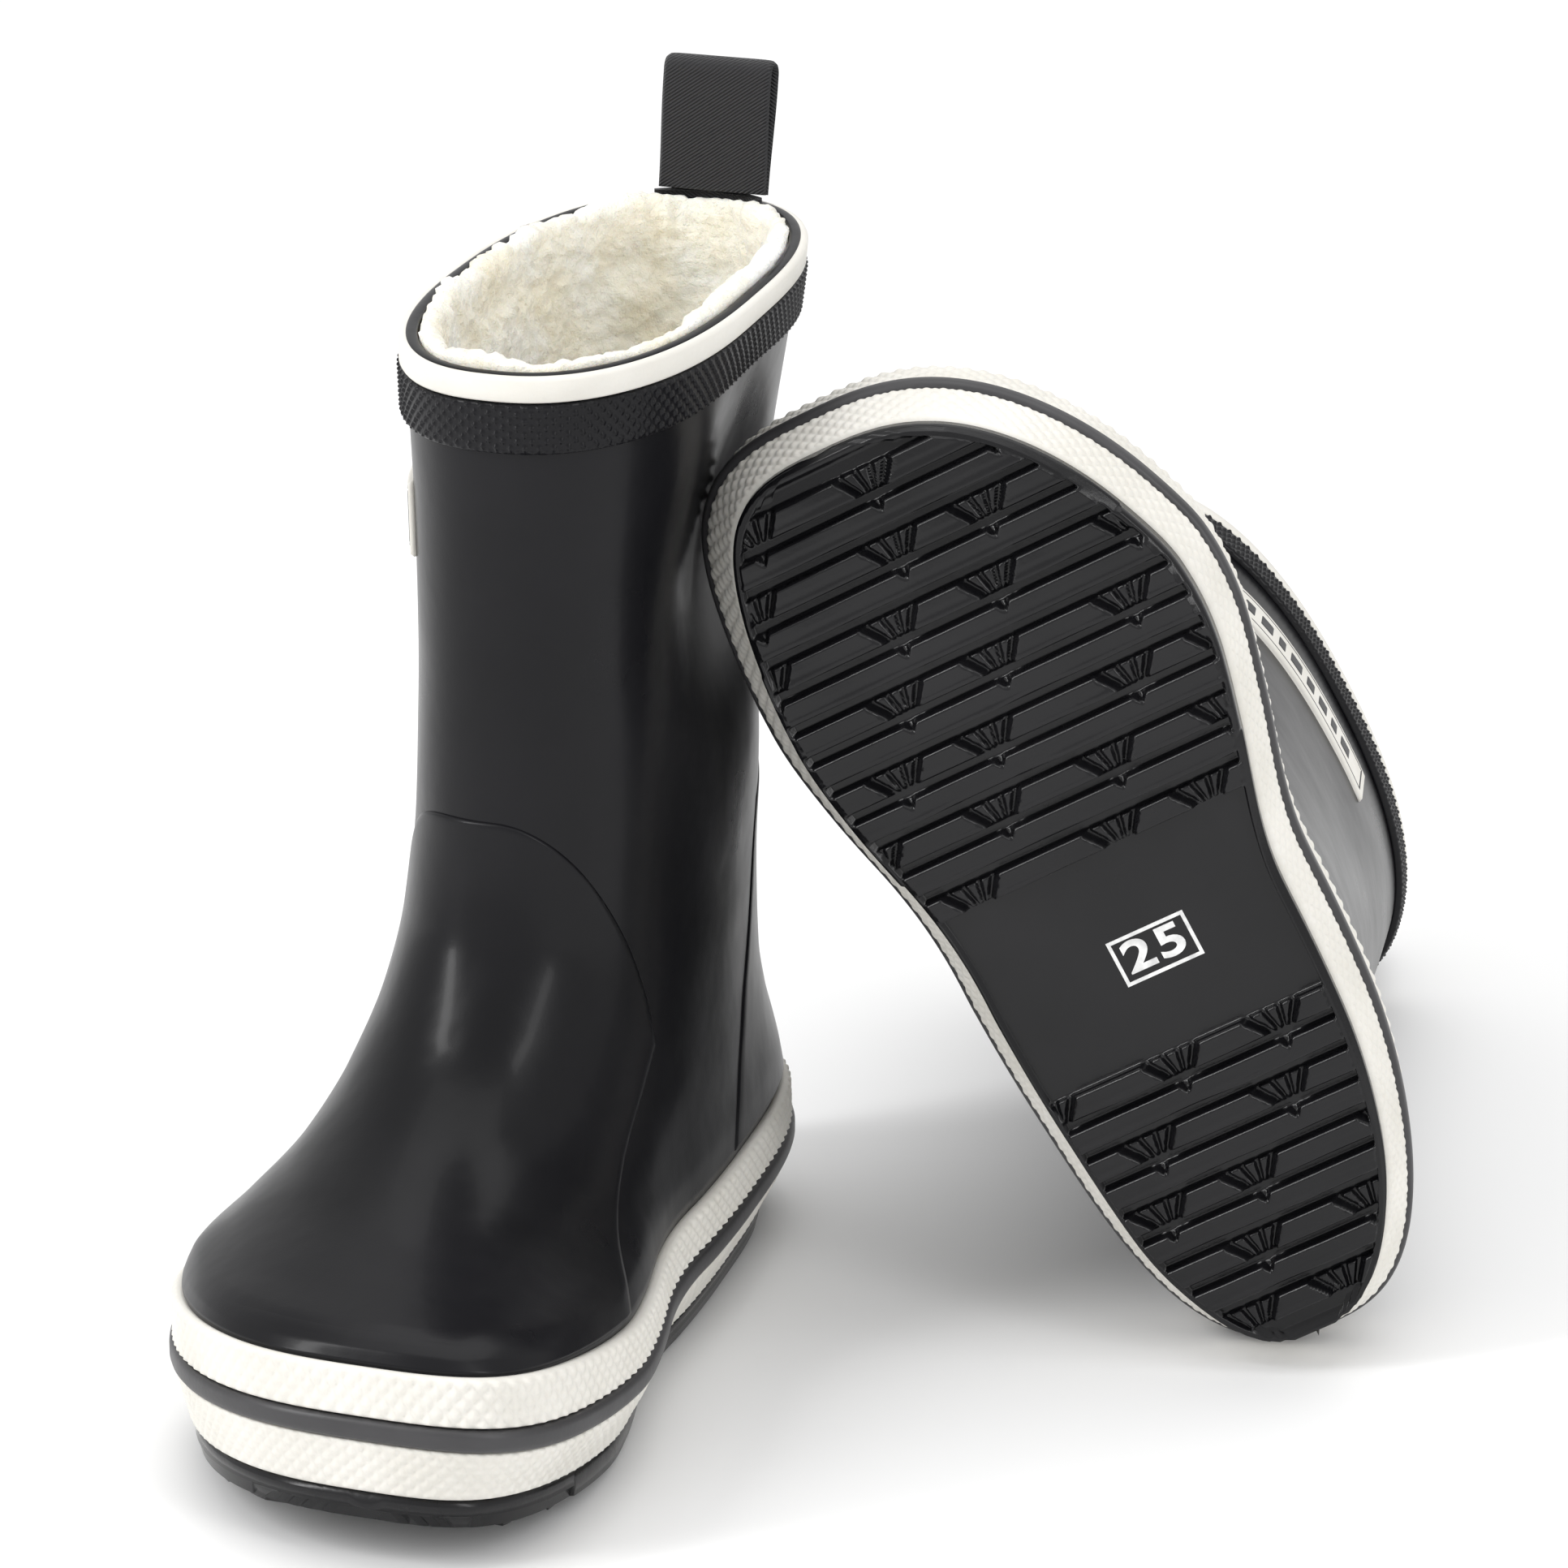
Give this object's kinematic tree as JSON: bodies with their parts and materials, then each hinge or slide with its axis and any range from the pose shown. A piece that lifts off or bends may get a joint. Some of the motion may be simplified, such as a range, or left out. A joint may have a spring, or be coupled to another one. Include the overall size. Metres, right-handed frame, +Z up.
{
  "type": "pair of rubber rain boots",
  "caption": "Child's wool-lined black rubber rain boots with light side strips, light rim stripe and webbing pull loops; one boot stands, the other leans against it.",
  "frame": {"origin": "on the floor under the middle of the last tread bar of the standing right boot's front part", "axes": "+Z up; +Y from toe to heel of the standing boot; +X towards its inner side and the lying left boot"},
  "size_m": [0.1859, 0.3214, 0.2023],
  "materials": {
    "black_rubber": "satin natural rubber",
    "grey_rubber": "smooth dark grey rubber",
    "cream_rubber": "matt cream rubber with a fine diamond texture",
    "filler_sponge": "matt sponge rubber",
    "wool_pile": "ivory wool pile",
    "black_webbing": "woven webbing"
  },
  "bodies": {
    "right_boot": {"right_outsole": "black_rubber", "right_sole_filler": "filler_sponge", "right_insole": "wool_pile", "right_wool_lining": "wool_pile", "right_rubber_shell": "black_rubber", "right_ankle_overlay": "black_rubber", "right_heel_counter": "black_rubber", "right_upper_foxing": "cream_rubber", "right_foxing_ridge": "grey_rubber", "right_lower_foxing": "cream_rubber", "right_top_band": "black_rubber", "right_top_stripe": "cream_rubber", "right_side_badge": "cream_rubber", "right_loop_tail": "black_webbing"},
    "right_pull_loop": {"right_pull_loop": "black_webbing"},
    "left_boot": {"left_outsole": "black_rubber", "left_sole_filler": "filler_sponge", "left_insole": "wool_pile", "left_wool_lining": "wool_pile", "left_rubber_shell": "black_rubber", "left_ankle_overlay": "black_rubber", "left_heel_counter": "black_rubber", "left_upper_foxing": "cream_rubber", "left_foxing_ridge": "grey_rubber", "left_lower_foxing": "cream_rubber", "left_top_band": "black_rubber", "left_top_stripe": "cream_rubber", "left_side_badge": "cream_rubber", "left_loop_tail": "black_webbing"},
    "left_pull_loop": {"left_pull_loop": "black_webbing"}
  },
  "joints": [
    {"name": "left_boot_slide", "type": "slide", "parent": "right_boot", "child": "left_boot", "axis": [0.7071, 0, 0.7071], "range_m": [0, 0.2]},
    {"name": "right_loop_hinge", "type": "hinge", "parent": "right_boot", "child": "right_pull_loop", "pos_m": [0.0041, 0.0936, 0.1832], "axis": [1, 0, 0], "range_deg": [-60, 80], "stiffness_Nm_per_rad": 0.003},
    {"name": "left_loop_hinge", "type": "hinge", "parent": "left_boot", "child": "left_pull_loop", "pos_m": [0.08389, 0.22058, 0.00669], "axis": [-0.8615, -0.1972, -0.4679], "range_deg": [-60, 4], "stiffness_Nm_per_rad": 0.003}
  ]
}
